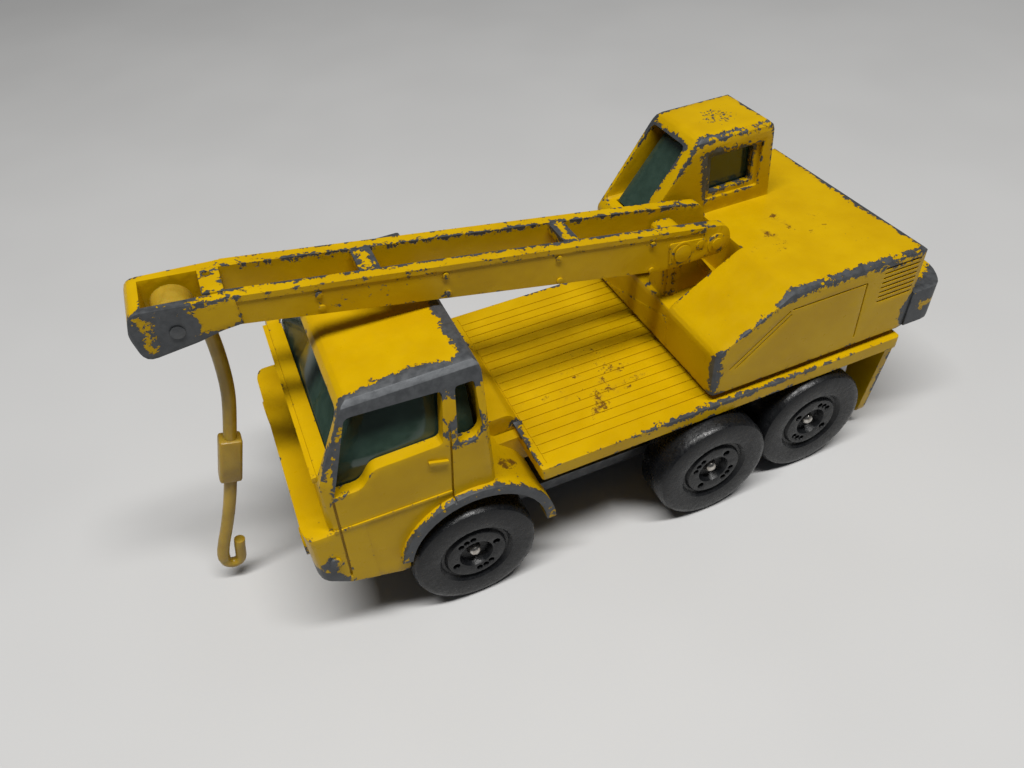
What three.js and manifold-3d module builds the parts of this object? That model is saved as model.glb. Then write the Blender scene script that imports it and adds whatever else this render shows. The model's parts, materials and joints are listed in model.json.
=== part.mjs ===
// Pocket-size die-cast toy crane truck.
// A forward-control six-wheel truck carries a crane house that slews on the deck. The boom lies
// between the operator's cab and the engine housing, and a one-piece plastic hook hangs from it.
// Millimetres, +X forward, +Y to the truck's left, +Z up. Inside this file every station along X
// is measured from the front axle; the group at the end shifts the model so that its origin lies
// under the middle of its box, on the ground.

import * as THREE from 'three';
import { mergeVertices } from 'three/addons/utils/BufferGeometryUtils.js';
import Module from 'manifold-3d';

const wasm = await Module();
wasm.setup();

// ---------------------------------------------------------------- driving dimensions
const WHEEL_R = 5.85;
const WHEEL_W = 4.4;
const WHEEL_OUT = 12.65;          // outer face of a wheel from the centre line
const SIDE_PLAY = 0.5;            // how far each axle has slid sideways in its slots
const AXLE_R = 0.6;
const AXLE_X = { front: 0, middle: -24.1, rear: -36.2 };
const AXLE_SLIDE = { front: -SIDE_PLAY, middle: SIDE_PLAY, rear: -SIDE_PLAY };
const RUN = 0.06;                 // radial running clearance of a shaft in its hole
const GAP = 0.3;                  // clearance between neighbouring castings
const WALL = 1.1;                 // casting wall

const DECK = { front: -6.9, rear: -45.3, half: 11.65, top: 13.35, plate: 0.95, rim: 1.3 };
const PLANKS = { count: 20, margin: 0.6, depth: 0.09, width: 0.13 };
const CAB = { half: 11.3, roofHalf: 10.15, roof: 26.5, base: 6.7, rear: -3.0, nose: 11.3 };
const REAR_WALL = 0.6;            // the cab's rear wall as a share of the other walls
const BUMPER = { front: 13.35, top: 14.7, base: 6.7 };
const ARCH = { x: -0.6, z: 6.8, outer: 7.3, inner: 6.4, out: 12.0 };

const RIVET_X = { front: -5.2, rear: -42.2 };
const RIVET = { shank: 0.95, head: 1.8 };
const BASE = { floor: 4.1, top: 5.3, half: 7.0, front: 9.6, rear: -43.9 };

const SLEW_X = -32;
const SLEW_STUB = { r: 1.5, foot: 11.9 };
const PAD_TOP = 13.7;
const HOUSE = { front: -23.95, kneeX: -31.4, rearTop: -45.9, rearBase: -46.4,
  half: 11.1, base: 14.1, shoulder: 18.75, top: 23.15 };
const WEIGHT = { rear: -50.5, top: 18.0 };
const SLOT = { near: 3.2, rear: -31.4, floor: 18.6 };
const OPCAB = { near: -3.3, roof: 31.0, roofFront: -30.4, roofRear: -38.4, rear: -39.0,
  screenFoot: 22.3, windowStep: 0.35 };

const PIVOT = { x: -25.2, z: 24.25, r: 0.6 };
const BOOM = { half: 2.6, cheek: 1.0, topZ: 30.65, topSlope: 0.166, baseZ: 27.5, baseSlope: 0.218 };
const HEAD = { start: 12.1, nose: 19.7, half: 2.8, noseHalf: 2.35, base: 29.7 };
const FRONT_REACH = 22.05;         // foremost point of the hook
const HEAD_BAY = 1.75;            // half width of the bay that the sheave turns in
const SHEAVE = { x: 16.5, z: 31.0, r: 1.55, half: 1.4 };
const HOOK_PIN = { r: 0.4, head: 0.52, half: 2.58 };
const LINE_R = 0.56;              // half thickness of the moulded line and shank

// ---------------------------------------------------------------- solids and booleans
function solid(geometry) {
  const bare = geometry.index ? geometry.clone() : geometry;
  bare.deleteAttribute('normal');
  bare.deleteAttribute('uv');
  const welded = mergeVertices(bare, 1e-4);
  return new wasm.Manifold(new wasm.Mesh({
    numProp: 3,
    vertProperties: new Float32Array(welded.attributes.position.array),
    triVerts: new Uint32Array(welded.index.array),
  }));
}

function geometryOf(manifold) {
  const mesh = manifold.getMesh();
  const geometry = new THREE.BufferGeometry();
  geometry.setAttribute('position', new THREE.BufferAttribute(mesh.vertProperties, 3));
  geometry.setIndex(new THREE.BufferAttribute(mesh.triVerts, 1));
  return geometry;
}

const join = (...solids) => solids.reduce((all, next) => all.add(next));
const cut = (base, ...tools) => tools.reduce((left, tool) => left.subtract(tool), base);
const common = (...solids) => solids.reduce((all, next) => all.intersect(next));

const X_AXIS = new THREE.Vector3(1, 0, 0);
const Y_AXIS = new THREE.Vector3(0, 1, 0);
const Z_AXIS = new THREE.Vector3(0, 0, 1);
const MINUS_Y = new THREE.Vector3(0, -1, 0);

// A closed outline from [a, b, radius] corners; a radius rounds that corner.
function outline(corners) {
  const shape = new THREE.Shape();
  const count = corners.length;
  corners.forEach(([a, b, wanted = 0], i) => {
    const here = new THREE.Vector2(a, b);
    const before = new THREE.Vector2(...corners[(i + count - 1) % count].slice(0, 2)).sub(here);
    const after = new THREE.Vector2(...corners[(i + 1) % count].slice(0, 2)).sub(here);
    const radius = Math.min(wanted, 0.45 * before.length(), 0.45 * after.length());
    const start = here.clone().add(before.setLength(radius));
    const end = here.clone().add(after.setLength(radius));
    if (i === 0) shape.moveTo(start.x, start.y);
    else shape.lineTo(start.x, start.y);
    if (radius > 0) shape.quadraticCurveTo(a, b, end.x, end.y);
  });
  shape.closePath();
  return shape;
}

function extruded(corners, depth, smooth = 3) {
  const shape = Array.isArray(corners) ? outline(corners) : corners;
  return new THREE.ExtrudeGeometry(shape, { depth, bevelEnabled: false, curveSegments: smooth });
}

// Side view outline (x, z), filling y from low to high.
function fromSide(corners, low, high, smooth) {
  const geometry = extruded(corners, high - low, smooth);
  geometry.applyMatrix4(new THREE.Matrix4().makeBasis(X_AXIS, Z_AXIS, MINUS_Y));
  return solid(geometry.translate(0, high, 0));
}

// Front view outline (y, z), filling x from low to high.
function fromFront(corners, low, high, smooth) {
  const geometry = extruded(corners, high - low, smooth);
  geometry.applyMatrix4(new THREE.Matrix4().makeBasis(Y_AXIS, Z_AXIS, X_AXIS));
  return solid(geometry.translate(low, 0, 0));
}

// Plan view outline (x, y), filling z from low to high.
function fromTop(corners, low, high, smooth) {
  return solid(extruded(corners, high - low, smooth).translate(0, 0, low));
}

function block(x, y, z) {
  const geometry = new THREE.BoxGeometry(x[1] - x[0], y[1] - y[0], z[1] - z[0]);
  return solid(geometry.translate((x[0] + x[1]) / 2, (y[0] + y[1]) / 2, (z[0] + z[1]) / 2));
}

function rodY(radius, x, z, low, high, sides = 24) {
  const geometry = new THREE.CylinderGeometry(radius, radius, high - low, sides);
  return solid(geometry.translate(x, (low + high) / 2, z));
}

function rodZ(radius, x, y, low, high, sides = 32, topRadius = radius) {
  const geometry = new THREE.CylinderGeometry(topRadius, radius, high - low, sides);
  return solid(geometry.rotateX(Math.PI / 2).translate(x, y, (low + high) / 2));
}

function bothSides(make) {
  return join(make(1), make(-1));
}

// Turns a side outline drawn for y > 0 into the matching one on either side.
function sidePlate(corners, inner, outer, side, smooth) {
  return side > 0 ? fromSide(corners, inner, outer, smooth) : fromSide(corners, -outer, -inner, smooth);
}

// A round stud along Y from inner to outer, on either side.
function studY(radius, x, z, inner, outer, side, sides) {
  return side > 0 ? rodY(radius, x, z, inner, outer, sides) : rodY(radius, x, z, -outer, -inner, sides);
}

// ---------------------------------------------------------------- truck body
function cabHull(inset) {
  const side = [
    [CAB.nose - inset, CAB.base - 1, 0],
    [CAB.nose - inset, 15.0, 0.4],
    [10.85 - inset * 1.1, 20.4, 0.5],
    [7.5 - inset * 1.1, CAB.roof - inset, 0.9],
    [CAB.rear + inset * REAR_WALL, CAB.roof - inset, 0.9],
    [CAB.rear + inset * REAR_WALL, CAB.base - 1, 0],
  ];
  const half = CAB.half - inset;
  const roof = CAB.roofHalf - inset;
  const front = [
    [-half, CAB.base - 1, 0], [half, CAB.base - 1, 0], [half, 20, 0.8], [roof, CAB.roof - inset, 1.1],
    [-roof, CAB.roof - inset, 1.1], [-half, 20, 0.8],
  ];
  const corner = Math.max(0.3, 1.0 - inset / 2);
  const plan = [
    [CAB.rear + inset * REAR_WALL, -half, corner], [CAB.nose - inset, -half, corner],
    [CAB.nose - inset, half, corner], [CAB.rear + inset * REAR_WALL, half, corner],
  ];
  return common(
    fromSide(side, -13, 13), fromFront(front, -6, 14), fromTop(plan, 0, 30),
  );
}

const SIDE_WINDOW = [
  [7.7, 25.3, 0.5], [0.25, 24.9, 0.5], [1.05, 20.2, 0.5], [6.75, 20.1, 0.5],
  [7.9, 18.5, 0.6], [10.15, 18.6, 0.4],
];
const QUARTER_WINDOW = [
  [-0.75, 24.9, 0.3], [-2.3, 24.9, 0.3], [-2.3, 20.3, 0.8], [-1.5, 19.5, 0.7], [-0.1, 19.8, 0.4],
];

function windowHoles() {
  const screen = fromFront(
    [[-10.5, 20.5, 0.5], [10.5, 20.5, 0.5], [9.55, 25.6, 0.7], [-9.55, 25.6, 0.7]], 6.0, 13);
  const rear = fromFront([[-7, 21, 0.6], [7, 21, 0.6], [6.6, 25.2, 0.6], [-6.6, 25.2, 0.6]], -6, 0);
  const sides = bothSides((s) => join(
    sidePlate(SIDE_WINDOW, 8.4, 13, s), sidePlate(QUARTER_WINDOW, 8.4, 13, s)));
  return join(screen, rear, sides);
}

function truckBody() {
  const shell = cut(cabHull(0), cabHull(WALL), windowHoles());
  const trimmed = common(shell, block([-12, 20], [-13, 13], [CAB.base, 30]));

  // Bumper and lower front panel: a hollow box that wraps round both front corners.
  const bumperPlan = (inset) => [
    [8.5, -CAB.half - 0.05 + inset], [12.9 - inset, -CAB.half - 0.05 + inset, 0.5],
    [BUMPER.front - inset, -10.2 + inset, 0.6], [BUMPER.front - inset, 10.2 - inset, 0.6],
    [12.9 - inset, CAB.half + 0.05 - inset, 0.5], [8.5, CAB.half + 0.05 - inset],
  ];
  const bumper = cut(
    fromTop(bumperPlan(0), BUMPER.base, BUMPER.top),
    fromTop(bumperPlan(WALL), BUMPER.base - 1, BUMPER.top - WALL),
    block([5, CAB.nose - WALL], [-CAB.half + WALL, CAB.half - WALL], [BUMPER.base - 1, BUMPER.top + 1]),
  );
  const grille = fromFront(
    [[-6.4, 9.0, 0.4], [6.4, 9.0, 0.4], [6.4, 13.2, 0.4], [-6.4, 13.2, 0.4]], BUMPER.front - 0.4, 15);
  const bars = join(...[9.9, 10.9, 11.9].map((z) => block(
    [BUMPER.front - 0.6, BUMPER.front - 0.15], [-6.4, 6.4], [z, z + 0.35])));
  const lamps = bothSides((s) => solid(new THREE.CylinderGeometry(1.2, 1.4, 1.0, 28)
    .rotateZ(-Math.PI / 2).translate(BUMPER.front - 0.25, s * 8.3, 11.6)));
  const front = join(cut(bumper, grille), bars, lamps);
  const sill = block([10.2, 11.2], [-10.2, 10.2], [19.8, 20.35]);

  // Wheel arches with a thin raised lip, running on behind the cab as mudguards.
  const arcAt = (radius, from, to, steps) => Array.from({ length: steps + 1 }, (_, i) => {
    const angle = THREE.MathUtils.degToRad(from + ((to - from) * i) / steps);
    return [ARCH.x + radius * Math.cos(angle), ARCH.z + radius * Math.sin(angle)];
  });
  const band = (inner, outer, from, to) => [...arcAt(outer, from, to, 20), ...arcAt(inner, to, from, 20)];
  const lip = bothSides((s) => sidePlate(band(ARCH.inner, ARCH.outer, 14, 178), 10.3, ARCH.out, s));
  const guard = bothSides((s) => sidePlate(band(ARCH.inner, ARCH.outer - 0.12, 96, 176), 5.2, 11.9, s));
  const well = bothSides((s) => sidePlate(arcAt(ARCH.inner, 0, 360, 40).slice(0, 40), 7.4, 13, s));

  // Bulkhead block between cab and deck.
  const bulkhead = cut(
    fromSide([
      [CAB.rear + 0.6, 9.5], [CAB.rear + 0.6, 14.5], [-6.6, 14.5, 0.4], [-7.6, 13.2], [-7.6, 9.5],
    ], -5.3, 5.3),
    block([-6.8, -1], [-4.2, 4.2], [9, 13.3]),
  );

  // Deck: planked plate with a rim, hollow below.
  const deckPlan = (inset) => [
    [DECK.front - inset, -DECK.half + inset, 0.3], [DECK.front - inset, DECK.half - inset, 0.3],
    [DECK.rear + inset, DECK.half - inset, 0.5], [DECK.rear + inset, -DECK.half + inset, 0.5],
  ];
  const underside = DECK.top - DECK.plate;
  const deck = cut(
    fromTop(deckPlan(0), DECK.top - DECK.rim, DECK.top),
    fromTop(deckPlan(WALL), DECK.top - DECK.rim - 1, underside),
  );
  const plankHalf = DECK.half - PLANKS.margin;
  const grooved = [DECK.top - PLANKS.depth, DECK.top + 1];
  const pitch = (2 * plankHalf) / PLANKS.count;
  const lines = Array.from({ length: PLANKS.count - 1 }, (_, i) => {
    const y = -plankHalf + pitch * (i + 1);
    return block([DECK.rear + 1.1, DECK.front - PLANKS.margin],
      [y - PLANKS.width / 2, y + PLANKS.width / 2], grooved);
  });
  const borderX = DECK.front - PLANKS.margin;
  const border = block([borderX - PLANKS.width, borderX], [-plankHalf, plankHalf], grooved);
  const pad = rodZ(5, SLEW_X, 0, DECK.top - 0.5, PAD_TOP, 40);
  const wheelRoom = join(...['middle', 'rear'].map((name) => bothSides((s) => (
    studY(WHEEL_R + GAP, AXLE_X[name], WHEEL_R, 7.2, 14, s, 40)))));
  const flaps = bothSides((s) => fromFront(
    [[s * 7.4, DECK.top - 0.8, 0], [s * 7.4, 2.2, 0.8], [s * 10.2, 1.8, 0.8], [s * 11.3, DECK.top - 0.8, 0]],
    DECK.rear, DECK.rear + 0.9));

  // Chassis members under the deck, ribs that keep the axles in their slots, and rivet posts.
  const rails = bothSides((s) => sidePlate(
    [[-2.6, 9.6], [-2.6, 12.6], [DECK.rear + 1, 12.6], [DECK.rear + 1, 9.6], [-8, 9.6]], 5.4, 6.5, s));
  const ribs = join(...Object.values(AXLE_X).map((x) => bothSides((s) => sidePlate(
    [[x - 0.5, 6.65], [x + 0.5, 6.65], [x + 0.5, 12.6], [x - 0.5, 12.6]], 4.4, 5.6, s))));
  const frontRib = bothSides((s) => sidePlate(
    [[-3.0, 10.2], [0.6, 10.2], [0.6, 12.6], [-3.0, 12.6]], 4.4, 5.6, s));
  const posts = join(
    rodZ(1.9, RIVET_X.front, 0, 5.6, 13.6), rodZ(1.9, RIVET_X.rear, 0, 5.6, DECK.top - 0.4));

  const body = join(trimmed, front, sill, lip, guard, bulkhead, deck, pad, flaps, rails, ribs, frontRib, posts);
  const cabTrim = bothSides((s) => join(
    sidePlate([[2.5, 19.0], [0.9, 18.5], [0.9, 18.1], [2.5, 18.6]], CAB.half - 0.6, CAB.half + 0.25, s),
    sidePlate([[10.9, 14.95], [0.9, 14.75], [0.9, 14.5], [10.9, 14.7]], CAB.half - 0.6, CAB.half + 0.12, s)));
  const doorLines = bothSides((s) => join(
    sidePlate([[-0.1, 24.9], [0.1, 24.9], [1.15, 13.6], [0.95, 13.6]], CAB.half - 0.3, 13, s),
    sidePlate([[10.15, 18.2], [10.35, 18.2], [10.85, 8.6], [10.65, 8.6]], CAB.half - 0.3, 13, s)));
  const cornerLamp = bothSides((s) => studY(0.5, 11.6, 11.3, 10.9, 11.6, s, 16));
  const chin = fromSide([[20, 10.6], [12.8, 9.3], [10.9, 8.0], [6.6, 6.7], [6.6, 0], [20, 0]], -14, 14);
  return cut(
    join(body, cabTrim, cornerLamp), chin, doorLines, ...lines, border, wheelRoom, well,
    rodZ(SLEW_STUB.r + RUN, SLEW_X, 0, 9, 15), rodZ(RIVET.shank + 0.05, RIVET_X.front, 0, 5, 9),
    rodZ(RIVET.shank + 0.05, RIVET_X.rear, 0, 5, 9),
  );
}

// ---------------------------------------------------------------- chassis base, rivets, glazing
function chassisBase() {
  const plate = fromTop([
    [BASE.front, -4.6, 1], [BASE.front, 4.6, 1], [6.6, 6.6, 0.4], [BASE.rear, BASE.half, 0.6],
    [BASE.rear, -BASE.half, 0.6], [6.6, -6.6, 0.4],
  ], BASE.floor, BASE.top);
  const buried = BASE.top - 0.3;    // parts that grow out of the plate start a little below its top
  const saddles = join(...Object.values(AXLE_X).map((x) => join(
    bothSides((s) => sidePlate(
      [[x - 2.1, buried], [x + 2.1, buried], [x + 1.5, 8.2], [x - 1.5, 8.2]], 5.9, 6.9, s)),
    fromSide([[x - 2.1, 3.6, 0.4], [x + 2.1, 3.6, 0.4], [x + 2.6, buried], [x - 2.6, buried]], -6.6, 6.6),
  )));
  const slots = join(...Object.values(AXLE_X).map((x) => fromSide(
    [[x - AXLE_R - 0.08, 9], [x - AXLE_R - 0.08, WHEEL_R - 0.2], [x - 0.3, WHEEL_R - AXLE_R - 0.12],
      [x + 0.3, WHEEL_R - AXLE_R - 0.12], [x + AXLE_R + 0.08, WHEEL_R - 0.2], [x + AXLE_R + 0.08, 9]], -9, 9)));
  const gearbox = fromSide([[-8.5, 3.3, 0.5], [-15, 3.3, 0.5], [-16.2, buried], [-7.3, buried]], -2.6, 2.6);
  const shaftTunnel = block([-33.5, -15], [-0.9, 0.9], [3.6, buried]);
  const ribs = join(...[-10.5, -18.5, -30.2].map((x) => block([x - 0.4, x + 0.4], [-6.2, 6.2], [3.7, buried])));
  const holes = join(...Object.values(RIVET_X).map((x) => rodZ(RIVET.shank + 0.08, x, 0, 2, 9)));
  return cut(join(plate, saddles, gearbox, shaftTunnel, ribs), slots, holes);
}

function baseRivet(x) {
  const profile = [
    [0, 8.2], [RIVET.shank, 8.2], [RIVET.shank, BASE.floor - 0.1], [RIVET.head, BASE.floor - 0.1],
    [RIVET.head * 0.92, 3.7], [RIVET.head * 0.6, 3.45], [0, 3.35],
  ];
  return lathed(profile, 28).translate(x, 0, 0);
}

// A lathe turned about Z from (radius, z) points.
function lathed(profile, sides) {
  const points = profile.slice().reverse().map(([r, z]) => new THREE.Vector2(r, z));
  return new THREE.LatheGeometry(points, sides).rotateX(Math.PI / 2);
}

function slewRivet() {
  const shank = SLEW_STUB.r - 0.75;
  const head = 2.7;
  const profile = [[0, 15.5], [shank, 15.5], [shank, SLEW_STUB.foot - 0.1], [head, SLEW_STUB.foot - 0.1],
    [head * 0.9, 11.2], [head * 0.5, 10.95], [0, 10.85]];
  return lathed(profile, 32).translate(SLEW_X, 0, 0);
}

function cabGlazing() {
  const outer = WALL + 0.12;
  const shell = cut(cabHull(outer), cabHull(outer + 0.8));
  const above = block([-1.9, 20], [-13, 13], [17.9, CAB.roof - WALL - 0.3]);
  return common(shell, above);
}

// ---------------------------------------------------------------- axles and wheels
function axle(name) {
  const reach = WHEEL_OUT - 0.62;
  const dome = [
    [0, reach + 0.32], [AXLE_R * 0.55, reach + 0.24], [AXLE_R * 0.9, reach + 0.05], [AXLE_R, reach - 0.2],
  ];
  const mirrored = dome.slice().reverse().map(([r, z]) => [r, -z]);
  return lathed([...dome, ...mirrored], 20).rotateX(-Math.PI / 2)
    .translate(AXLE_X[name], AXLE_SLIDE[name], WHEEL_R);
}

function wheel() {
  const w = WHEEL_W;
  const profile = [
    [AXLE_R + RUN, 0], [4.3, 0], [4.5, 0.35], [WHEEL_R - 0.2, 0.35], [WHEEL_R, 0.7],
    [WHEEL_R, w - 0.6], [5.62, w - 0.16], [5.1, w],
    [3.5, w - 0.12], [3.2, w - 0.55], [2.95, w - 0.55], [2.75, w - 0.22],
    [1.6, w - 0.26], [1.35, w - 1.0], [AXLE_R + RUN, w - 1.0],
  ].map(([r, z]) => new THREE.Vector2(r, z));
  profile.push(profile[0].clone());
  const turned = solid(new THREE.LatheGeometry(profile, 36).rotateX(Math.PI / 2));
  const pitchR = 2.12;
  const holeAt = (angle, radius) => rodZ(
    radius, pitchR * Math.cos(angle), pitchR * Math.sin(angle), w - 1.1, w + 1, 10);
  const rounds = [0, Math.PI].map((a) => holeAt(a, 0.36));
  const slots = [Math.PI / 2, -Math.PI / 2].flatMap((a) => [-0.3, 0, 0.3].map((d) => holeAt(a + d, 0.3)));
  return cut(turned, ...rounds, ...slots);
}

// ---------------------------------------------------------------- crane house
function houseHull(inset) {
  const side = [
    [HOUSE.front - inset, HOUSE.base - (inset ? 1 : 0)],
    [HOUSE.front - inset, HOUSE.shoulder - inset * 0.6, 0.7],
    [HOUSE.kneeX - inset * 0.3, HOUSE.top - inset, 0.8],
    [HOUSE.rearTop + inset, HOUSE.top - inset, 0.9],
    [HOUSE.rearBase + inset, HOUSE.base - (inset ? 1 : 0)],
  ];
  const half = HOUSE.half - inset;
  const front = [[-half, 12], [half, 12], [half, HOUSE.top - inset, 0.7], [-half, HOUSE.top - inset, 0.7]];
  const plan = [[HOUSE.front - inset, -half, 0.6], [HOUSE.front - inset, half, 0.6],
    [HOUSE.rearBase + inset, half, 1.4], [HOUSE.rearBase + inset, -half, 1.4]];
  return common(fromSide(side, -12, 12), fromFront(front, -50, -20), fromTop(plan, 10, 26));
}

function operatorCabHull(inset) {
  const side = [
    [-24.0 - inset, 14.5], [-24.0 - inset, OPCAB.screenFoot, 0.3],
    [OPCAB.roofFront - inset * 0.7, OPCAB.roof - inset, 0.8], [OPCAB.roofRear + inset, OPCAB.roof - inset, 0.8],
    [OPCAB.rear + inset, 22, 0], [OPCAB.rear + inset, 14.5, 0],
  ];
  const near = OPCAB.near - inset;
  const far = -HOUSE.half + inset;
  const front = [[far, 14], [near, 14], [near, OPCAB.roof - inset, 0.9], [far + 0.3, OPCAB.roof - inset, 0.9]];
  return common(fromSide(side, -12, 0), fromFront(front, -42, -22));
}

function operatorWindows() {
  const sideWindow = [[-31.9, 28.8, 0.3], [-36.6, 28.9, 0.3], [-36.8, 25.2, 0.3], [-32.1, 25.1, 0.3]];
  const recess = [[-31.3, 29.4, 0.3], [-37.5, 29.2, 0.3], [-37.4, 24.6, 0.3], [-31.5, 24.6, 0.3]];
  const screen = fromFront(
    [[-10.6, 23.0, 0.5], [-4.9, 23.0, 0.5], [-4.7, 30.0, 0.6], [-10.4, 30.0, 0.6]], -31.2, -20);
  const rear = fromFront(
    [[-9.9, 25, 0.5], [-4.6, 25, 0.5], [-4.6, 29.2, 0.5], [-9.9, 29.2, 0.5]], -41, -37);
  return join(
    screen, rear, fromSide(sideWindow, -12, -2),
    fromSide(recess, OPCAB.near - OPCAB.windowStep, -2),
    fromSide(recess, -12, -HOUSE.half + OPCAB.windowStep),
  );
}

function craneHouse() {
  const shell = cut(houseHull(0), houseHull(WALL));

  // The front of the house is open between the engine housing and the operator's cab, where a
  // pylon between two slots carries the boom.
  const frontCut = fromSide([[-20, SLOT.floor], [SLOT.rear, SLOT.floor], [SLOT.rear, 27], [-20, 27]],
    OPCAB.near, SLOT.near);
  const sideStep = block([HOUSE.kneeX, -20], [-12, OPCAB.near], [HOUSE.shoulder + 0.3, 27]);
  const slotFloor = block([SLOT.rear - WALL, HOUSE.front - 0.4], [OPCAB.near - 0.5, SLOT.near + WALL],
    [SLOT.floor - WALL, SLOT.floor]);
  const slotRear = block([SLOT.rear - WALL, SLOT.rear], [OPCAB.near - 0.5, SLOT.near + WALL],
    [SLOT.floor - WALL, HOUSE.top - 0.5]);
  const housingWall = common(
    block([SLOT.rear - WALL, HOUSE.front - 0.3], [SLOT.near, SLOT.near + WALL], [SLOT.floor - WALL, HOUSE.top]),
    houseHull(0.05));
  const frontWall = block(
    [-25.6, HOUSE.front - 0.3], [OPCAB.near - 7.0, SLOT.near + 0.5], [HOUSE.base, SLOT.floor]);
  const pylonHalf = BOOM.half - BOOM.cheek - 0.35;
  const pylon = fromSide([
    [-24.6, SLOT.floor - 0.6], [-24.2, PIVOT.z - 0.2, 0.4], [PIVOT.x + 0.9, PIVOT.z + 1.25, 0.6],
    [PIVOT.x - 1.3, PIVOT.z + 1.2, 0.7], [-27.6, 22.6, 0.4], [-30.6, SLOT.floor - 0.6],
  ], -pylonHalf, pylonHalf);
  const postPlate = block([-26.1, -24.75], [0, pylonHalf + 0.18], [SLOT.floor - 0.4, 22.3]);
  const strut = fromSide([[-27.3, 22.4], [-27.9, 22.4], [-30.3, 19.2], [-29.7, 19.2]], 0, pylonHalf + 0.18);
  const studs = join(...[0.5, 1.45, 2.4, 3.35].map((up) => (
    rodY(0.2, -25.45, SLOT.floor + up, 1, pylonHalf + 0.34, 10))));
  const apron = fromFront(
    [[-10.9, HOUSE.base], [SLOT.near, HOUSE.base], [SLOT.near, 17.5], [2.4, 17.4], [-8.6, 14.2], [-10.9, 14.2]],
    HOUSE.front - 0.6, HOUSE.front + 0.02);

  const cabin = cut(
    operatorCabHull(0), operatorCabHull(WALL - 0.1), operatorWindows(),
    block([-50, -20], [-12, 0], [10, 17]));
  const innerCabRoom = common(operatorCabHull(WALL - 0.1), block([-50, -20], [-12, 0], [SLOT.floor, 32]));

  const weight = fromTop([
    [HOUSE.rearBase + 0.6, -HOUSE.half, 0], [HOUSE.rearBase + 0.6, HOUSE.half, 0], [-48.9, HOUSE.half, 1.0],
    [WEIGHT.rear, 8.6, 1.4], [WEIGHT.rear, -8.6, 1.4], [-48.9, -HOUSE.half, 1.0],
  ], HOUSE.base, WEIGHT.top);
  const boss = rodZ(3.0, SLEW_X, 0, PAD_TOP + 0.1, SLOT.floor - 0.2, 32);
  const stub = rodZ(SLEW_STUB.r, SLEW_X, 0, SLEW_STUB.foot, PAD_TOP + 0.5, 32);
  const bossBore = rodZ(SLEW_STUB.r - 0.7, SLEW_X, 0, 10, 16.2, 32);

  // Both sides of the house: engraved panel lines, and louvres above the counterweight.
  const engraving = (x0, z0, x1, z1, width) => {
    const half = new THREE.Vector2(x1 - x0, z1 - z0).normalize().multiplyScalar(width / 2);
    const strip = [
      [x0 - half.y, z0 + half.x], [x0 + half.y, z0 - half.x],
      [x1 + half.y, z1 - half.x], [x1 - half.y, z1 + half.x],
    ];
    return bothSides((s) => sidePlate(strip, HOUSE.half - 0.16, 12, s));
  };
  const louvres = Array.from({ length: 8 }, (_, i) => 18.6 + i * 0.52);
  const engraved = [
    engraving(-25.6, 16.7, -31.2, 21.2, 0.16),
    engraving(-26.2, 16.6, -31.4, 20.8, 0.14),
    engraving(-31.4, 21.3, -39.4, 21.3, 0.16),
    engraving(-39.4, 21.3, -39.6, 15.0, 0.16),
    ...louvres.map((z) => engraving(-41.2, z, -45.2, z, 0.2)),
  ];

  const raw = join(
    cut(shell, frontCut, sideStep), slotFloor, slotRear, housingWall, frontWall, apron, weight, boss, stub);
  const withCab = join(cut(raw, innerCabRoom), cabin);
  const withPylon = join(withCab, pylon, postPlate, strut, studs);
  return cut(withPylon, bossBore, rodY(PIVOT.r + 0.02, PIVOT.x, PIVOT.z, -3.3, 3.1, 24), ...engraved);
}

function operatorGlazing() {
  const outer = WALL + 0.05;
  const shell = cut(operatorCabHull(outer), operatorCabHull(outer + 0.75));
  return common(shell, block([-38, -20], [-12, 0], [23.0, OPCAB.roof - WALL - 0.25]));
}

// ---------------------------------------------------------------- boom
const boomTop = (x) => BOOM.topZ + BOOM.topSlope * x;
const boomBase = (x) => BOOM.baseZ + BOOM.baseSlope * x;

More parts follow.
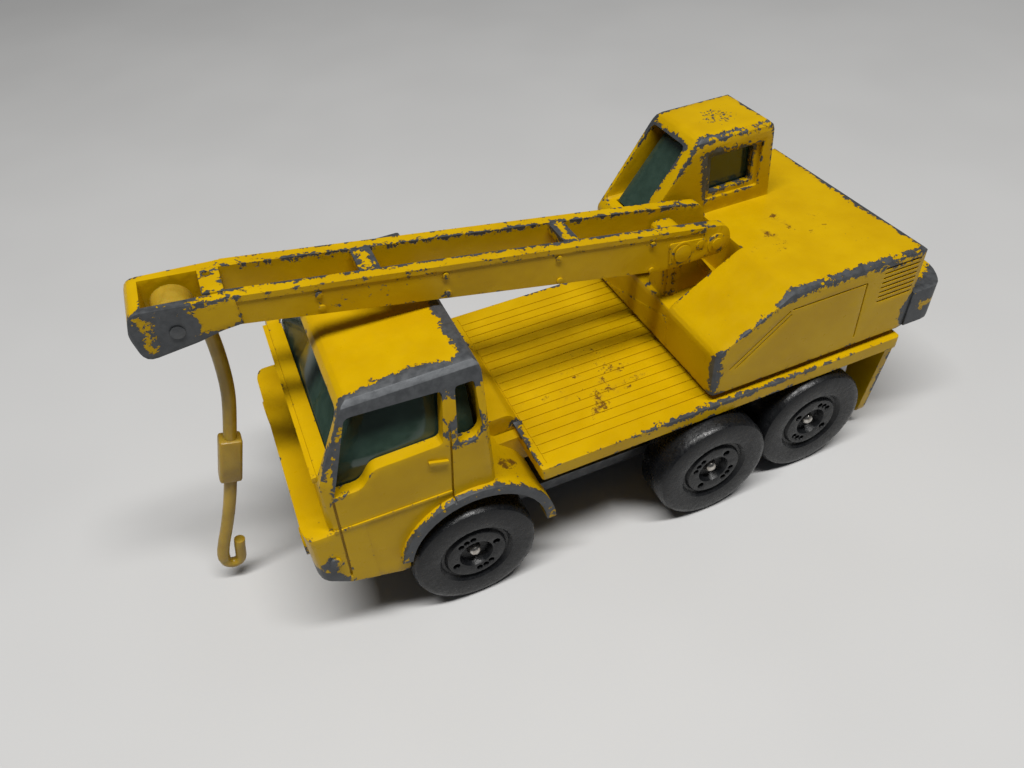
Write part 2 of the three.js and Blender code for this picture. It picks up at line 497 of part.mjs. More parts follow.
function boom() {
  const cheekEnd = HEAD.start + 0.6;
  const cheekOutline = [
    [-23.4, 22.8, 0.3], [cheekEnd, boomBase(cheekEnd)], [cheekEnd, boomTop(cheekEnd)],
    [-28.0, boomTop(-28.0), 1.0], [-30.0, 25.6, 0.8], [-30.5, 23.9, 0.9], [-29.7, 22.8, 0.8],
  ];
  const headOutline = [
    [HEAD.start, 30.3], [13.6, HEAD.base + 0.45, 0.3], [15.4, HEAD.base, 0.3], [HEAD.nose - 0.4, 29.15, 0.9],
    [HEAD.nose, 31.4, 0.5], [HEAD.nose - 0.6, 33.3, 0.8], [HEAD.start, 32.6],
  ];
  const headPlan = [
    [HEAD.start - 1, -HEAD.half], [HEAD.nose, -HEAD.noseHalf, 0.6], [HEAD.nose, HEAD.noseHalf, 0.6],
    [HEAD.start - 1, HEAD.half],
  ];
  const inner = BOOM.half - BOOM.cheek;
  const cheeks = bothSides((s) => sidePlate(cheekOutline, inner, BOOM.half, s, 4));
  const rimFrom = -27.6;
  const rimTo = HEAD.start + 0.3;
  const rims = bothSides((s) => sidePlate([
    [rimFrom, boomTop(rimFrom) - 0.5], [rimTo, boomTop(rimTo) - 0.5], [rimTo, boomTop(rimTo)],
    [rimFrom, boomTop(rimFrom)],
  ], inner, BOOM.half + 0.1, s));
  const head = cut(
    common(fromSide(headOutline, -HEAD.half, HEAD.half, 4), fromTop(headPlan, 28, 35)),
    fromSide([[HEAD.start - 1, 28], [HEAD.nose - 1.2, 28], [HEAD.nose - 1.5, 34], [HEAD.start - 1, 34]],
      -HEAD_BAY, HEAD_BAY),
  );
  const bar = (x0, x1, thick) => fromSide([
    [x0, boomTop(x0) - thick], [x1, boomTop(x1) - thick], [x1, boomTop(x1) - 0.02], [x0, boomTop(x0) - 0.02]],
  -inner - 0.1, inner + 0.1);
  const bars = join(bar(1.3, 2.9, 1.0), bar(-15.6, -14.2, 1.0), bar(12.6, 14.1, 0.9));
  const barHole = rodZ(0.32, 13.5, -0.9, 31, 34, 12);
  const rivetSpots = [6.4, -3.4, -13.2, -22.2].flatMap((x) => [
    [x, boomTop(x) - 0.95], [x, boomBase(x) + 0.65],
  ]);
  const rivets = bothSides((s) => join(...rivetSpots.map(([x, z]) => (
    studY(0.28, x, z, 2, BOOM.half + 0.16, s, 12)))));
  const plate = bothSides((s) => sidePlate([
    [-24.0, 22.9, 0.6], [-23.9, 25.5, 0.3], [-27.6, 25.0, 0.3], [-28.4, 23.2, 0.4], [-26.4, 22.9, 0.3],
  ], 2, BOOM.half + 0.14, s));
  const proud = BOOM.half + 0.2;
  const bosses = bothSides((s) => join(
    studY(1.1, PIVOT.x, PIVOT.z, 2, proud, s, 32),
    studY(0.95, -28.85, 24.1, 2, proud, s, 28),
    studY(0.55, -28.85, 24.1, 2, proud + 0.12, s, 20),
    studY(0.42, -27.1, 24.5, 2, proud, s, 14)));
  const bore = rodY(PIVOT.r + RUN, PIVOT.x, PIVOT.z, -4, 4, 28);
  const pinBore = rodY(HOOK_PIN.r + RUN / 2, SHEAVE.x, SHEAVE.z, -4, 4, 20);
  return cut(join(cheeks, rims, head, bars, rivets, plate, bosses), bore, pinBore, barHole);
}

function headedPin(radius, head, half, dome, x, z) {
  const profile = [
    [0, half + dome], [head * 0.6, half + dome * 0.8], [head, half + dome / 2], [head, half],
    [radius, half], [radius, -half],
    [head, -half], [head, -half - dome / 2], [head * 0.6, -half - dome * 0.8], [0, -half - dome],
  ];
  return lathed(profile, 24).rotateX(-Math.PI / 2).translate(x, 0, z);
}

// ---------------------------------------------------------------- hook
// Sheave, line, block and hook are one moulding that swings on the pin in the boom head.
function hook() {
  const sheave = rodY(SHEAVE.r, SHEAVE.x, SHEAVE.z, -SHEAVE.half, SHEAVE.half, 32);
  const line = new THREE.CatmullRomCurve3([
    [14.95, 31.2], [14.75, 29.0], [14.8, 26.2], [15.25, 22.4], [16.4, 18.1], [17.2, 15.4],
  ].map(([x, z]) => new THREE.Vector3(x, 0, z)));
  const shank = new THREE.CatmullRomCurve3([
    [17.2, 15.6], [17.95, 12.9], [18.85, 10.2], [19.9, 7.5], [20.9, 5.2], [21.4, 3.8], [21.48, 3.2],
  ].map(([x, z]) => new THREE.Vector3(x, 0, z)));
  const round = (radius, sides) => new THREE.Shape(
    new THREE.EllipseCurve(0, 0, radius, radius).getPoints(sides).slice(0, sides));
  const swept = (curve, radius, steps) => solid(new THREE.ExtrudeGeometry(round(radius, 12), {
    steps, bevelEnabled: false, extrudePath: curve,
  }));
  const blockTurn = Math.atan2(17.9 - 16.4, 18.1 - 13.1);
  const blockBody = solid(new THREE.ExtrudeGeometry(
    outline([[-0.95, -0.8, 0.3], [0.95, -0.8, 0.3], [0.95, 0.8, 0.3], [-0.95, 0.8, 0.3]]),
    {
      depth: 4.2, curveSegments: 3, bevelEnabled: true, bevelSize: 0.2, bevelThickness: 0.25,
      bevelOffset: -0.2, bevelSegments: 2,
    },
  ).translate(0, 0, -2.1).rotateY(-blockTurn).translate(17.2, 0, 15.45));

  // The curl turns back under the shank and its tip points up behind it.
  const bend = { x: 20.75, z: 2.95, r: 0.74 };
  const turns = Array.from({ length: 9 }, (_, i) => {
    const angle = THREE.MathUtils.degToRad(10 - 22 * i);
    return [bend.x + bend.r * Math.cos(angle), bend.z + 1.1 * bend.r * Math.sin(angle)];
  });
  const curl = [[21.35, 4.0], ...turns, [19.72, 4.2], [19.5, 5.05]];
  const curlCurve = new THREE.CatmullRomCurve3(curl.map(([x, z]) => new THREE.Vector3(x, 0, z)));
  return join(
    sheave, swept(line, LINE_R, 26), swept(shank, LINE_R, 20), blockBody, swept(curlCurve, 0.9 * LINE_R, 26),
  ).subtract(rodY(HOOK_PIN.r + RUN, SHEAVE.x, SHEAVE.z, -4, 4, 24));
}

// ---------------------------------------------------------------- assembly
const truck = new THREE.Group();
const assembly = new THREE.Group();
assembly.position.x = -(FRONT_REACH + WEIGHT.rear) / 2;
truck.add(assembly);

const FINISH = {
  enamel: { color: 0xd9a800, roughness: 0.38, metalness: 0.1 },
  zinc: { color: 0x63676b, roughness: 0.45, metalness: 0.9 },
  steel: { color: 0xc9ccd0, roughness: 0.25, metalness: 1.0 },
  tyre: { color: 0x1b1d1f, roughness: 0.5, metalness: 0.0 },
  glass: { color: 0x2f5a49, roughness: 0.15, metalness: 0.0 },
  plastic: { color: 0xc79212, roughness: 0.4, metalness: 0.0 },
};

function place(name, geometry, finish) {
  const mesh = new THREE.Mesh(geometry, new THREE.MeshStandardMaterial(FINISH[finish]));
  mesh.name = name;
  assembly.add(mesh);
  return mesh;
}

place('truck_body', geometryOf(truckBody()), 'enamel');
place('chassis_base', geometryOf(chassisBase()), 'zinc');
place('cab_glazing', geometryOf(cabGlazing()), 'glass');
place('front_base_rivet', baseRivet(RIVET_X.front), 'zinc');
place('rear_base_rivet', baseRivet(RIVET_X.rear), 'zinc');
place('slew_rivet', slewRivet(), 'zinc');

const wheelGeometry = geometryOf(wheel());
const WHEEL_TURN = { front: 0.35, middle: 0.95, rear: 2.5 };
for (const name of Object.keys(AXLE_X)) {
  place(`${name}_axle`, axle(name), 'steel');
  for (const [side, sign] of [['left', 1], ['right', -1]]) {
    const mesh = place(`${name}_${side}_wheel`, wheelGeometry.clone(), 'tyre');
    mesh.geometry.rotateZ(WHEEL_TURN[name]);
    mesh.rotation.x = -sign * Math.PI / 2;
    mesh.position.set(AXLE_X[name], sign * (WHEEL_OUT - WHEEL_W) + AXLE_SLIDE[name], WHEEL_R);
  }
}

place('crane_house', geometryOf(craneHouse()), 'enamel');
place('operator_cab_glazing', geometryOf(operatorGlazing()), 'glass');
place('boom', geometryOf(boom()), 'enamel');
place('boom_pivot_pin', headedPin(PIVOT.r, 0.85, BOOM.half + 0.26, 0.22, PIVOT.x, PIVOT.z), 'steel');
place('hook_pin', headedPin(HOOK_PIN.r, HOOK_PIN.head, HOOK_PIN.half, 0.12, SHEAVE.x, SHEAVE.z), 'zinc');
place('hook', geometryOf(hook()), 'plastic');

export default truck;
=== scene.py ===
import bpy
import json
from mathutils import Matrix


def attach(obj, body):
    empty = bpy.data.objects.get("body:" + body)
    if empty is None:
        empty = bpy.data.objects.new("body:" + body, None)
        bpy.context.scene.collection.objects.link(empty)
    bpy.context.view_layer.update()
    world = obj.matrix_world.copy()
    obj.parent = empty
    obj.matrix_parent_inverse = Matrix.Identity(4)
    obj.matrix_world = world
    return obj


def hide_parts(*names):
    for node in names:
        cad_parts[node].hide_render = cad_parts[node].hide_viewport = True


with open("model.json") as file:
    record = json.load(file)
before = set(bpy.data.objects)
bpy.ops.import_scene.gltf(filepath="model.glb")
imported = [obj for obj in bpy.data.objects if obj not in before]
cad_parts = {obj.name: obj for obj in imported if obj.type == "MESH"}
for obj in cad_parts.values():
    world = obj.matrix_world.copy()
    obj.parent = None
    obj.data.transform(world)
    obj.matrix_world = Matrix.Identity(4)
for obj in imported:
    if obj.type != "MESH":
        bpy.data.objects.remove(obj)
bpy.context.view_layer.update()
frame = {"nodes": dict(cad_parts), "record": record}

import json
import math

import bmesh
import bpy
from mathutils import Matrix, Vector, kdtree

MM = 0.001
# The front axle's x in the row frame, in millimetres. Wear zones and masks measure x from it.
AXLE_X = 14.225
ROOT = bpy.context.scene.collection


# ---------------------------------------------------------------- camera
# Millimetres and unit directions in the row frame, from the fit to the picture.
CAMERA_AT = (24.103, 52.375, 65.103)
CAMERA_RIGHT = (-0.9165573, 0.3948032, -0.0636638)
CAMERA_DOWN = (0.3139552, 0.6117852, -0.7260517)
CAMERA_AHEAD = (-0.247699, -0.6854556, -0.6846867)
FOCAL_OVER_WIDTH = 0.77361
SENSOR_MM = 36

camera = bpy.data.objects.new("camera", bpy.data.cameras.new("camera"))
ROOT.objects.link(camera)
turn = Matrix((CAMERA_RIGHT, [-v for v in CAMERA_DOWN], [-v for v in CAMERA_AHEAD])).transposed()
camera.matrix_world = Matrix.Translation(Vector(CAMERA_AT) * MM) @ turn.to_4x4()
camera.data.sensor_width = SENSOR_MM
camera.data.lens = SENSOR_MM * FOCAL_OVER_WIDTH
camera.data.clip_start = 0.001
camera.data.clip_end = 20
bpy.context.scene.camera = camera


# ---------------------------------------------------------------- node building
class Shader:
    """A node material built from calls that return sockets."""

    def __init__(self, name):
        self.material = bpy.data.materials.new(name)
        self.material.use_nodes = True
        self.tree = self.material.node_tree
        self.tree.nodes.clear()

    def node(self, kind, inputs=None, out=0, **settings):
        made = self.tree.nodes.new(kind)
        for key, value in settings.items():
            setattr(made, key, value)
        for key, value in (inputs or {}).items():
            if isinstance(value, bpy.types.NodeSocket):
                self.tree.links.new(value, made.inputs[key])
            else:
                made.inputs[key].default_value = value
        return made.outputs[out] if len(made.outputs) else None

    def math(self, operation, a, b=0.0, c=0.0):
        return self.node("ShaderNodeMath", {0: a, 1: b, 2: c}, operation=operation)

    def excess(self, a, b):
        """How far a + b rises above 1."""
        return self.math("SUBTRACT", self.math("ADD", a, b), 1.0)

    def position(self):
        """Position in the row frame, in millimetres, fixed to the piece."""
        coords = self.node("ShaderNodeTexCoord", out="Object")
        return self.node("ShaderNodeVectorMath", {0: coords, "Scale": 1 / MM}, operation="SCALE")

    def noise(self, at, scale, detail=3.0, rough=0.55, warp=0.0):
        settings = {
            "Vector": at, "Scale": scale, "Detail": detail, "Roughness": rough, "Distortion": warp}
        return self.node("ShaderNodeTexNoise", settings, out="Fac")

    def band(self, value, low, high, to_low=0.0, to_high=1.0):
        """Smooth ramp of value from low..high to to_low..to_high."""
        return self.node("ShaderNodeMapRange", {
            "Value": value, "From Min": low, "From Max": high, "To Min": to_low, "To Max": to_high},
            interpolation_type="SMOOTHSTEP")

    def mix(self, factor, a, b):
        made = self.tree.nodes.new("ShaderNodeMix")
        made.data_type = "RGBA"
        for key, value in ((0, factor), (6, a), (7, b)):
            if isinstance(value, bpy.types.NodeSocket):
                self.tree.links.new(value, made.inputs[key])
            else:
                made.inputs[key].default_value = value
        return made.outputs[2]

    def blend(self, factor, a, b):
        """a where factor is 0, b where it is 1, for single numbers."""
        return self.node("ShaderNodeMix", {0: factor, 2: a, 3: b})

    def attribute(self, name):
        return self.node("ShaderNodeAttribute", attribute_name=name, out="Fac")

    def bump(self, height, distance, strength=1.0, below=None):
        inputs = {"Height": height, "Distance": distance * MM, "Strength": strength}
        if below is not None:
            inputs["Normal"] = below
        return self.node("ShaderNodeBump", inputs)

    def surface(self, **inputs):
        named = {key.replace("_", " "): value for key, value in inputs.items()}
        shader = self.node("ShaderNodeBsdfPrincipled", named)
        self.node("ShaderNodeOutputMaterial", {"Surface": shader})
        return self.material


def rgb(red, green, blue):
    return (red, green, blue, 1.0)


# ---------------------------------------------------------------- materials
def chipped_enamel():
    s = Shader("chipped_yellow_enamel")
    at = s.position()
    wear = s.attribute("wear")
    scuff = s.attribute("scuff")
    grime = s.attribute("grime")

    # Chips: how far the wear reaches in from an edge, in millimetres, with a ragged outline.
    ragged = s.noise(at, 1.25, 5.0, 0.62, 0.3)
    fine = s.noise(at, 5.0, 3.0, 0.6)
    ragged_mm = s.math("MULTIPLY_ADD", ragged, 1.9, -0.95)
    fine_mm = s.math("MULTIPLY_ADD", fine, 0.6, -0.3)
    worn = s.math("ADD", wear, s.math("ADD", ragged_mm, fine_mm))
    edge_chip = s.band(worn, 0.0, 0.05)
    spots = s.noise(at, 2.4, 4.0, 0.65, 0.2)
    flake = s.band(s.excess(spots, scuff), 0.0, 0.012)
    bare = s.math("MAXIMUM", edge_chip, flake)

    # Enamel: warm yellow, a little uneven, darker where dirt sits.
    cloud = s.noise(at, 0.22, 3.0)
    enamel = s.mix(
        s.band(cloud, 0.3, 0.7), rgb(0.450, 0.268, 0.0006), rgb(0.505, 0.312, 0.0010))
    clusters = s.math("MULTIPLY_ADD", s.noise(at, 0.45, 2.0), 1.1, -0.55)
    gathered = s.math("ADD", grime, clusters)
    specks = s.noise(at, 2.3, 6.0, 0.72, 0.6)
    dirt = s.band(s.excess(specks, gathered), 0.0, 0.10)
    stain = s.band(s.excess(s.noise(at, 0.75, 5.0, 0.68), gathered), -0.05, 0.22)
    enamel = s.mix(s.math("MULTIPLY", stain, 0.45), enamel, rgb(0.20, 0.095, 0.004))
    enamel = s.mix(s.math("MULTIPLY", dirt, 0.85), enamel, rgb(0.085, 0.032, 0.008))

    # Bare zinc, dulled to blue grey, with the enamel browned beside it.
    patina = s.noise(at, 1.7, 4.0, 0.6)
    zinc = s.mix(
        s.band(patina, 0.3, 0.7), rgb(0.070, 0.074, 0.079), rgb(0.100, 0.105, 0.111))
    thin_edge = s.band(worn, -0.12, 0.0)
    enamel = s.mix(s.math("MULTIPLY", thin_edge, 0.35), enamel, rgb(0.24, 0.125, 0.004))
    colour = s.mix(bare, enamel, zinc)

    orange_peel = s.noise(at, 1.1, 2.0)
    grit = s.noise(at, 9.0, 3.0, 0.6)
    paint_height = s.bump(s.math("SUBTRACT", 1.0, bare), 0.05, 1.0)
    paint_height = s.bump(orange_peel, 0.05, 0.5, paint_height)
    normal = s.bump(grit, 0.012, 0.5, paint_height)
    gloss = s.band(s.noise(at, 0.9, 3.0), 0.3, 0.75, 0.27, 0.40)
    gloss = s.blend(s.math("MULTIPLY", stain, 0.8), gloss, 0.6)
    rough = s.blend(bare, gloss, s.band(patina, 0.3, 0.7, 0.42, 0.55))
    return s.surface(
        Base_Color=colour, Metallic=s.math("MULTIPLY", bare, 0.5), Roughness=rough,
        Normal=normal, Specular_IOR_Level=0.16)


def bare_casting():
    s = Shader("dull_zinc")
    at = s.position()
    tone = s.band(s.noise(at, 0.8, 5.0), 0.3, 0.7)
    colour = s.mix(tone, rgb(0.075, 0.079, 0.084), rgb(0.13, 0.135, 0.14))
    rough = s.band(s.noise(at, 1.5), 0.3, 0.7, 0.42, 0.6)
    normal = s.bump(s.noise(at, 6.0, 4.0, 0.65), 0.03, 0.6)
    return s.surface(Base_Color=colour, Metallic=0.8, Roughness=rough, Normal=normal)


def drawn_steel():
    s = Shader("drawn_steel")
    at = s.position()
    tone = s.band(s.noise(at, 2.5, 4.0), 0.35, 0.7)
    colour = s.mix(tone, rgb(0.62, 0.60, 0.56), rgb(0.38, 0.34, 0.30))
    rough = s.band(s.noise(at, 3.0), 0.3, 0.7, 0.2, 0.42)
    normal = s.bump(s.noise(at, 8.0), 0.01, 0.4)
    return s.surface(Base_Color=colour, Metallic=1.0, Roughness=rough, Normal=normal)


def scuffed_black():
    s = Shader("scuffed_black_plastic")
    at = s.position()
    scratches = s.noise(at, 3.0, 6.0, 0.72, 0.6)
    dust = s.band(s.noise(at, 1.4, 5.0, 0.7), 0.5, 0.8)
    colour = s.mix(
        s.math("MULTIPLY", dust, 0.5), rgb(0.006, 0.0065, 0.0075), rgb(0.026, 0.027, 0.029))
    rough = s.band(scratches, 0.35, 0.7, 0.22, 0.48)
    normal = s.bump(s.noise(at, 0.9, 3.0), 0.10, 0.5)
    normal = s.bump(scratches, 0.03, 0.6, normal)
    return s.surface(Base_Color=colour, Roughness=rough, Normal=normal, Specular_IOR_Level=0.30)


def green_plastic():
    s = Shader("green_window_plastic")
    at = s.position()
    haze = s.noise(at, 1.2, 4.0, 0.6)
    colour = s.mix(s.band(haze, 0.3, 0.7), rgb(0.030, 0.060, 0.044), rgb(0.042, 0.080, 0.060))
    rough = s.band(haze, 0.3, 0.7, 0.10, 0.2)
    normal = s.bump(s.noise(at, 0.8), 0.05, 0.3)
    return s.surface(
        Base_Color=colour, Roughness=rough, Transmission_Weight=0.30, Specular_IOR_Level=0.9,
        IOR=1.49, Normal=normal)


def ochre_plastic():
    s = Shader("ochre_plastic")
    at = s.position()
    tone = s.noise(at, 0.5, 4.0)
    colour = s.mix(s.band(tone, 0.3, 0.7), rgb(0.28, 0.175, 0.010), rgb(0.38, 0.245, 0.018))
    rough = s.band(s.noise(at, 2.0, 4.0), 0.3, 0.7, 0.32, 0.5)
    normal = s.bump(s.noise(at, 2.5, 4.0), 0.05, 0.5)
    return s.surface(
        Base_Color=colour, Roughness=rough, Subsurface_Weight=0.25,
        Subsurface_Radius=(1.0 * MM, 0.5 * MM, 0.1 * MM), Subsurface_Scale=1.0, Normal=normal)


# ---------------------------------------------------------------- pieces from the CAD castings
# Lengths in millimetres, angles in degrees.
WELD = 0.0005
FLAT_ANGLE = 0.6
BEVEL_SEGMENTS = 2
BEVEL_PROFILE = 0.55
REFINE_PASSES = 8
SAMPLE_STEP = 0.3
WEAR_REACH = 3.0


def falloff(point, centre, radius, amount):
    """amount at centre, easing to nothing at radius; radius may differ along x, y and z."""
    radii = radius if isinstance(radius, tuple) else (radius,) * 3
    d = math.sqrt(sum(((point[i] - centre[i]) / radii[i]) ** 2 for i in range(3)))
    if d >= 1:
        return 0.0
    return amount * (1 - d * d * (3 - 2 * d))


def zone_sum(point, zones):
    return sum(falloff(point, *zone) for zone in zones)


def cad_mesh(node):
    """A CAD node's mesh in millimetres from the front axle, with its flat faces joined."""
    bm = bmesh.new()
    bm.from_mesh(frame["nodes"][node].data)
    bmesh.ops.scale(bm, vec=(1 / MM,) * 3, verts=bm.verts)
    bmesh.ops.translate(bm, vec=(-AXLE_X, 0, 0), verts=bm.verts)
    bmesh.ops.remove_doubles(bm, verts=bm.verts, dist=WELD)
    bmesh.ops.dissolve_limit(
        bm, angle_limit=math.radians(FLAT_ANGLE), verts=bm.verts, edges=bm.edges)
    bm.normal_update()
    return bm


def wearing_points(corners, skip):
    """Points along the convex corners, except where skip says they keep their paint."""
    points = []
    for edge in corners:
        middle = (edge.verts[0].co + edge.verts[1].co) / 2
        if not edge.is_convex or (skip and skip(middle)):
            continue
        start, end = edge.verts[0].co.copy(), edge.verts[1].co.copy()
        steps = max(1, int((end - start).length / SAMPLE_STEP))
        points += [start.lerp(end, i / steps) for i in range(steps + 1)]
    return points


def split_long_edges(bm, longest):
    for _ in range(REFINE_PASSES):
        long = [e for e in bm.edges if e.calc_length() > longest]
        if not long:
            break
        bmesh.ops.subdivide_edges(bm, edges=long, cuts=1)
        bmesh.ops.triangulate(bm, faces=[f for f in bm.faces if len(f.verts) > 3])


def mark_wear(mesh, points, base, zones, scuffs, grime):
    """Per vertex: how far inside the worn band it is in mm, how scuffed and how dirty."""
    tree = kdtree.KDTree(len(points))
    reach = []
    for i, point in enumerate(points):
        tree.insert(point, i)
        reach.append(base + zone_sum(point, zones))
    tree.balance()
    wear = mesh.attributes.new("wear", "FLOAT", "POINT")
    scuff = mesh.attributes.new("scuff", "FLOAT", "POINT")
    dirty = mesh.attributes.new("grime", "FLOAT", "POINT")
    for vertex in mesh.vertices:
        at = vertex.index
        near = tree.find_range(vertex.co, WEAR_REACH)
        wear.data[at].value = max((reach[i] - d for _, i, d in near), default=-WEAR_REACH)
        scuff.data[at].value = zone_sum(vertex.co, scuffs)
        dirty.data[at].value = max(0.0, vertex.normal.z) * zone_sum(vertex.co, grime)


def casting(node, name, material, bevel=0.0, sharp=28, smooth=38, refine=0.0, zones=(),
            base=-0.9, skip=None, scuffs=(), grime=()):
    """A finished copy of a CAD node: softened edges, and how worn and dirty each point is."""
    bm = cad_mesh(node)
    corners = [
        e for e in bm.edges
        if len(e.link_faces) == 2 and e.calc_face_angle(0) > math.radians(sharp)]
    points = wearing_points(corners, skip) if refine else []
    if bevel:
        bmesh.ops.bevel(
            bm, geom=corners, offset=bevel, offset_type="OFFSET", segments=BEVEL_SEGMENTS,
            profile=BEVEL_PROFILE, affect="EDGES", clamp_overlap=True,
            miter_outer="SHARP", miter_inner="SHARP")
    bmesh.ops.triangulate(bm, faces=bm.faces)
    if refine:
        split_long_edges(bm, refine)
    mesh = bpy.data.meshes.new(name)
    bm.to_mesh(mesh)
    bm.free()
    mesh.shade_smooth()
    mesh.set_sharp_from_angle(angle=math.radians(smooth))
    if refine:
        mark_wear(mesh, points, base, zones, scuffs, grime)
    mesh.transform(Matrix.Scale(MM, 4) @ Matrix.Translation((AXLE_X, 0, 0)))
    piece = bpy.data.objects.new(name, mesh)
    ROOT.objects.link(piece)
    piece.data.materials.append(material)
    bodies = frame["record"]["behaviour"]["bodies"]
    body = next(b for b, nodes in bodies.items() if node in nodes)
    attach(piece, body)
    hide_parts(node)
    return piece


enamel = chipped_enamel()
zinc = bare_casting()
steel = drawn_steel()
black = scuffed_black()
window = green_plastic()
ochre = ochre_plastic()

BODY_WEAR = [
    ((2.3, 10.6, 26.0), (11.0, 2.2, 2.2), 2.0), ((-3.0, 5.0, 26.2), (1.7, 10.0, 1.7), 1.3),
    ((7.6, 4.0, 26.4), (1.5, 9.0, 1.5), 0.5), ((9.3, 11.0, 22.0), (2.4, 1.3, 6.5), 0.75),
    ((12.8, 10.8, 10.0), (2.4, 2.4, 6.0), 1.7), ((-0.6, 12.0, 9.0), (10.5, 0.75, 8.5), 1.7),
    ((-25.0, 11.7, 12.9), (25.0, 1.0, 1.4), 0.75), ((-7.0, 6.0, 13.3), (1.2, 8.0, 1.0), 0.60),
    ((-45.3, 9.0, 8.0), (1.5, 5.0, 7.0), 0.8), ((-1.0, 11.0, 21.0), (2.4, 1.5, 5.5), 0.65),
]
HOUSE_WEAR = [
    ((-38.0, 11.1, 23.0), (14.0, 1.4, 1.4), 0.50), ((-31.2, 11.0, 23.0), (3.0, 2.0, 2.0), 0.30),
    ((-24.0, 11.1, 16.5), (1.6, 1.6, 5.0), 0.65), ((-27.5, 11.1, 21.0), (6.0, 1.3, 4.0), 0.35),
    ((-48.3, 10.6, 16.0), (4.2, 5.0, 4.2), 3.2), ((-33.0, -7.0, 29.0), (10.0, 7.5, 8.0), 0.62),
    ((-46.0, 4.0, 23.0), (1.8, 10.0, 1.6), 0.7), ((-30.5, -3.4, 27.0), (4.0, 1.2, 5.0), 0.5),
]


def boom_top(x):
    """Height of the boom's sloping top line."""
    return 30.65 + 0.166 * x


BOOM_WEAR = [((17.0, 2.4, 31.2), (6.0, 3.0, 3.8), 1.45)]
BOOM_WEAR += [((x, 0.0, boom_top(x)), (4.5, 4.0, 1.3), 0.48) for x in range(-28, 14, 3)]
FAR_SIDE_SHARE = 0.75


def both_sides(zones):
    """The same zones again on the far side, a little less worn."""
    return zones + [
        ((x, -y, z), radius, FAR_SIDE_SHARE * amount) for (x, y, z), radius, amount in zones]


def deck_lines(point):
    """The grooves between the deck's planks, which hold their paint."""
    return abs(point.z - 13.3) < 0.12 and abs(point.y) < 11.3 and -44.9 < point.x < -7.4


def house_side_lines(point):
    """The engraved lines and louvres on the sides of the house, which hold their paint."""
    edge = 22.3 if point.x < -31.4 else 17.75 - 0.59 * (point.x + 23.95)
    return abs(point.y) > 10.9 and 14.7 < point.z < edge and -45.6 < point.x < -25.2


# The scuff zones of radius 200 lay a light, nearly even share over a whole casting.
casting("truck_body", "body_casting", enamel, bevel=0.16, refine=1.0,
        zones=both_sides(BODY_WEAR), base=-0.18, skip=deck_lines,
        scuffs=[((0, 0, 15), 200, 0.26), ((-3, 9, 13), (4, 4, 4), 0.10),
                ((12, 10, 11), (3, 3, 5), 0.15)],
        grime=[((-16, 4, 13.4), (14, 12, 2), 0.44), ((-4.5, 9, 12), (4, 4, 3), 0.60)])
casting("chassis_base", "base_casting", zinc, bevel=0.1)
casting("cab_glazing", "cab_windows", window)
casting("front_base_rivet", "front_rivet", zinc)
casting("rear_base_rivet", "rear_rivet", zinc)
casting("slew_rivet", "house_rivet", zinc)
for place in ("front", "middle", "rear"):
    casting(f"{place}_axle", f"{place}_axle_wire", steel)
    for side in ("left", "right"):
        casting(f"{place}_{side}_wheel", f"{place}_{side}_tyre", black, bevel=0.06, sharp=35)
casting("crane_house", "house_casting", enamel, bevel=0.16, refine=1.0,
        zones=both_sides(HOUSE_WEAR), base=-0.05, skip=house_side_lines,
        scuffs=[((0, 0, 15), 200, 0.26), ((-34.5, -7, 31), (3.5, 3.5, 1.5), 0.25),
                ((-42, 6, 23), (4, 4, 1.5), 0.10)],
        grime=[((-36, 2, 23.2), (12, 10, 2), 0.36)])
casting("operator_cab_glazing", "operator_windows", window)
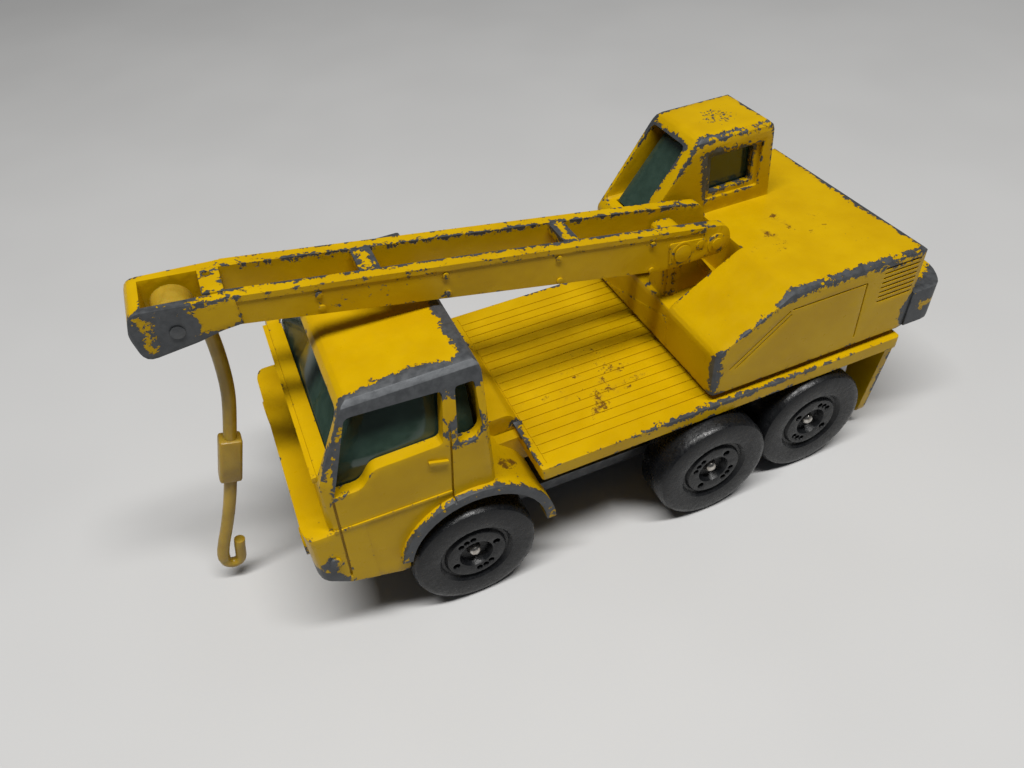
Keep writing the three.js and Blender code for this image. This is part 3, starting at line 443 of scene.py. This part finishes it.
casting("boom", "boom_casting", enamel, bevel=0.12, refine=0.8, zones=BOOM_WEAR, base=-0.14,
        scuffs=[((0, 0, 30), 200, 0.27), ((3, 2.6, 29.6), (7, 1.2, 1.8), 0.13),
                ((17, 2.5, 31.4), (3.5, 1.5, 2.5), 0.35)])
casting("boom_pivot_pin", "heel_pin", enamel, refine=0.6, base=-0.4)
casting("hook_pin", "head_pin", zinc)
casting("hook", "hook_moulding", ochre, bevel=0.05, sharp=40, smooth=50)


# ---------------------------------------------------------------- floor and light
# The floor's reach and the lamp's place and size are in metres, its power in watts.
FLOOR_REACH = 1.5
SKY_COLOUR = (0.90, 0.94, 1.0, 1)
SKY_STRENGTH = 0.07


def floor():
    s = Shader("pale_floor")
    at = s.position()
    cloud = s.band(s.noise(at, 0.03, 2.0), 0.3, 0.7)
    tone = s.mix(cloud, rgb(0.49, 0.49, 0.49), rgb(0.51, 0.51, 0.51))
    normal = s.bump(s.noise(at, 2.0, 3.0), 0.02, 0.3)
    material = s.surface(
        Base_Color=tone, Roughness=0.55, Specular_IOR_Level=0.3, Normal=normal)
    mesh = bpy.data.meshes.new("floor")
    far = FLOOR_REACH
    corners = [(-far, -far, 0), (far, -far, 0), (far, far, 0), (-far, far, 0)]
    mesh.from_pydata(corners, [], [(0, 1, 2, 3)])
    plane = bpy.data.objects.new("floor", mesh)
    plane.data.materials.append(material)
    ROOT.objects.link(plane)


def tube_light(name, at, along, length, width, power):
    """A long narrow ceiling lamp facing straight down."""
    data = bpy.data.lights.new(name, "AREA")
    data.shape = "RECTANGLE"
    data.size = length
    data.size_y = width
    data.energy = power
    data.color = (1.0, 0.99, 0.97)
    lamp = bpy.data.objects.new(name, data)
    lamp.location = at
    lamp.rotation_euler = (0, 0, math.atan2(along[1], along[0]))
    ROOT.objects.link(lamp)


floor()
world = bpy.data.worlds.new("studio")
world.use_nodes = True
sky = world.node_tree.nodes["Background"]
sky.inputs["Color"].default_value = SKY_COLOUR
sky.inputs["Strength"].default_value = SKY_STRENGTH
bpy.context.scene.world = world
tube_light("tube", at=(0.030, 0.080, 0.400), along=(1.0, -0.3),
           length=0.38, width=0.040, power=2.35)
bpy.context.scene.view_settings.view_transform = "Standard"

bpy.context.view_layer.update()
